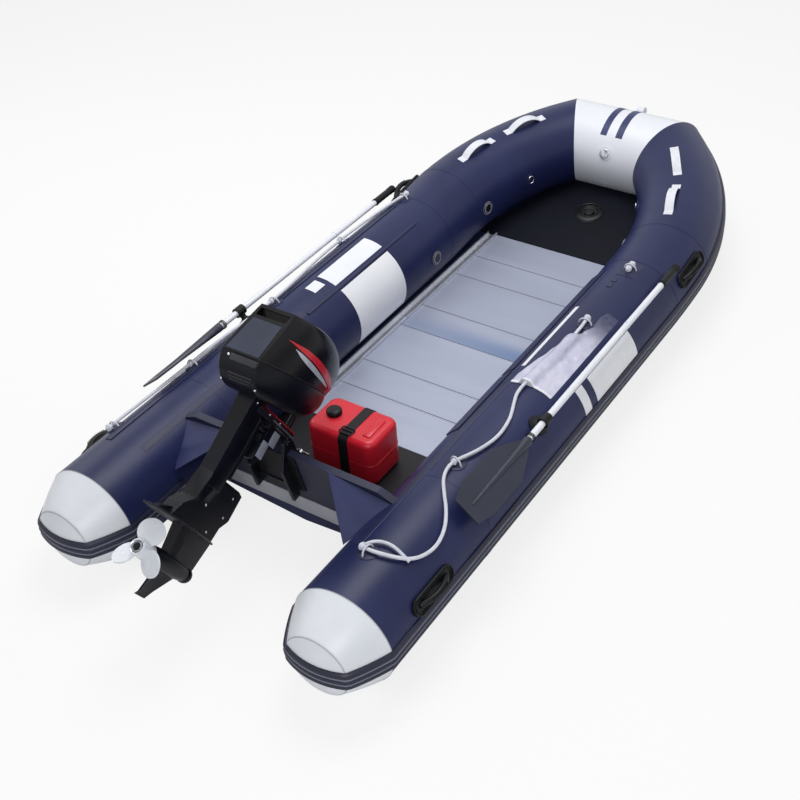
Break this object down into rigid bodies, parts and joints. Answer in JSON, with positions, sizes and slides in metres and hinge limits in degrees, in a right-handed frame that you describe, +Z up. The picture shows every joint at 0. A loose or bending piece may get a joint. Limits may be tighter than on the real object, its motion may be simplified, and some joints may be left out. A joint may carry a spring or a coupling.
{
  "type": "inflatable boat with aluminium floor and outboard motor",
  "caption": "Inflatable boat with round side tubes, mitred bow, plank floor, oars on the tubes, fuel tank and a tilted outboard motor on its transom.",
  "frame": {"origin": "on the ground below the middle of the boat's length and beam", "axes": "+X starboard, +Y towards the bow, +Z up"},
  "size_m": [1.682, 3.927, 0.9629],
  "materials": {
    "tube_skin": "coated, semi-matt",
    "white_patch": "coated, satin",
    "cone_plastic": "moulded, satin",
    "strake_rubber": "matt",
    "strip_fabric": "coated, matt",
    "hull_fabric": "coated, matt",
    "transom_wood": "coated plywood",
    "pad_plastic": "grained",
    "grey_fabric": "coated, matt",
    "rope": "braided",
    "floor_metal": "anodised",
    "rail_metal": "extruded",
    "mat_rubber": "matt",
    "bow_fabric": "coated, matt",
    "valve_plastic": "moulded",
    "ring_steel": "polished wire",
    "lug_plastic": "moulded",
    "webbing": "woven",
    "handle_rubber": "moulded, matt",
    "oar_metal": "anodised tube",
    "oar_plastic": "moulded",
    "tank_plastic": "blow moulded",
    "strap_fabric": "woven",
    "motor_paint": "gloss",
    "motor_casting": "satin",
    "cowl_plastic": "painted",
    "screw_chrome": "polished",
    "engine_iron": "plain block",
    "propeller_paint": "satin"
  },
  "bodies": {
    "hull": {"port_tube": "tube_skin", "starboard_tube": "tube_skin", "bow_tube": "white_patch", "stern_cones": "cone_plastic", "rub_strake": "strake_rubber", "wrap_bands": "white_patch", "tube_strips": "strip_fabric", "hull_bottom": "hull_fabric", "transom_board": "transom_wood", "motor_pads": "pad_plastic", "transom_fabric": "grey_fabric", "floor_planks": "floor_metal", "floor_rails": "rail_metal", "aft_mat": "mat_rubber", "bow_floor": "bow_fabric", "keel_valve": "valve_plastic", "tube_valves": "valve_plastic", "d_rings": "ring_steel", "bow_eye": "lug_plastic", "web_handles": "webbing", "carry_handles": "handle_rubber", "oarlock_bases": "handle_rubber", "fuel_tank": "tank_plastic", "tank_strap": "strap_fabric", "clamp_bracket": "motor_paint", "clamp_screws": "screw_chrome", "port_rope": "rope", "starboard_rope": "rope", "rope_anchors": "strip_fabric"},
    "motor_swivel": {"swivel_bracket": "motor_paint"},
    "motor": {"drive_leg": "motor_casting", "gearcase": "motor_casting", "cowl": "cowl_plastic", "lower_pan": "motor_paint", "powerhead": "engine_iron", "tiller": "motor_paint"},
    "propeller": {"propeller": "propeller_paint"},
    "port_oar": {"port_oarlock": "oar_plastic", "port_oar_shaft": "oar_metal", "port_oar_grip": "oar_plastic", "port_oar_blade": "oar_plastic"},
    "starboard_oar": {"starboard_oarlock": "oar_plastic", "starboard_oar_shaft": "oar_metal", "starboard_oar_grip": "oar_plastic", "starboard_oar_blade": "oar_plastic"}
  },
  "joints": [
    {"name": "motor_tilt", "type": "hinge", "parent": "hull", "child": "motor_swivel", "pos_m": [-0.075, -1.166, 0.475], "axis": [1, 0, 0], "range_deg": [0, 60]},
    {"name": "motor_steering", "type": "hinge", "parent": "motor_swivel", "child": "motor", "pos_m": [-0.075, -1.22706, 0.58292], "axis": [0, 0.8704, 0.4924], "range_deg": [-35, 35]},
    {"name": "propeller_spin", "type": "hinge", "parent": "motor", "child": "propeller", "pos_m": [-0.075, -1.76146, 0.28058], "axis": [0, 0.4924, -0.8704], "continuous": true},
    {"name": "port_oar_swing", "type": "hinge", "parent": "hull", "child": "port_oar", "pos_m": [-0.74145, -0.506, 0.38097], "axis": [0.6293, 0, -0.7771], "range_deg": [0, 50]},
    {"name": "starboard_oar_swing", "type": "hinge", "parent": "hull", "child": "starboard_oar", "pos_m": [0.74145, -0.506, 0.38097], "axis": [0.6293, 0, 0.7771], "range_deg": [0, 50]}
  ]
}
